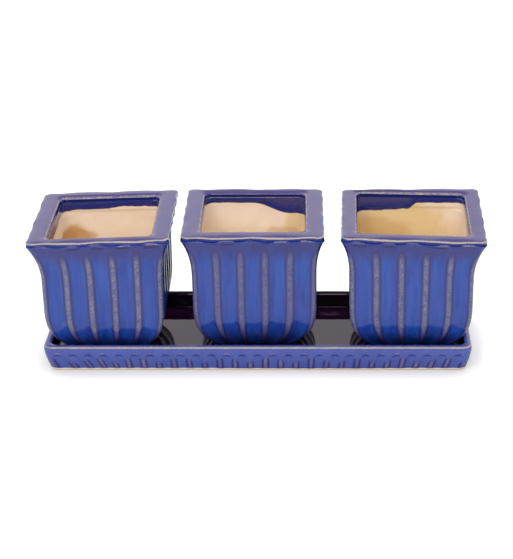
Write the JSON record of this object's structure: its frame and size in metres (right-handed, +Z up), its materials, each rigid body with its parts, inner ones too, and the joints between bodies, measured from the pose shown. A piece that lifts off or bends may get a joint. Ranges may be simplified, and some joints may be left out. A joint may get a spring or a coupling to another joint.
{
  "type": "indoor herb planter",
  "caption": "Square fluted pots with broad flared rims in a long shallow fluted tray, cobalt-glazed stoneware, for growing herbs on a windowsill; each pot lifts out.",
  "frame": {"origin": "on the table under the middle of the set", "axes": "+X along the tray, +Y to the back, +Z up"},
  "size_m": [0.3589, 0.1196, 0.1144],
  "materials": {
    "pot_glaze": "glossy cobalt glaze breaking to beige on the ribs and edges, bare buff clay inside",
    "tray_glaze": "glossy cobalt glaze breaking to beige on the ribs and edges, bare clay foot"
  },
  "bodies": {
    "tray": {"tray": "tray_glaze"},
    "left_pot": {"left_pot": "pot_glaze"},
    "middle_pot": {"middle_pot": "pot_glaze"},
    "right_pot": {"right_pot": "pot_glaze"}
  },
  "joints": [
    {"name": "left_pot_lift", "type": "slide", "parent": "tray", "child": "left_pot", "axis": [0, 0, 1], "range_m": [0, 0.12]},
    {"name": "middle_pot_lift", "type": "slide", "parent": "tray", "child": "middle_pot", "axis": [0, 0, 1], "range_m": [0, 0.12]},
    {"name": "right_pot_lift", "type": "slide", "parent": "tray", "child": "right_pot", "axis": [0, 0, 1], "range_m": [0, 0.12]}
  ]
}
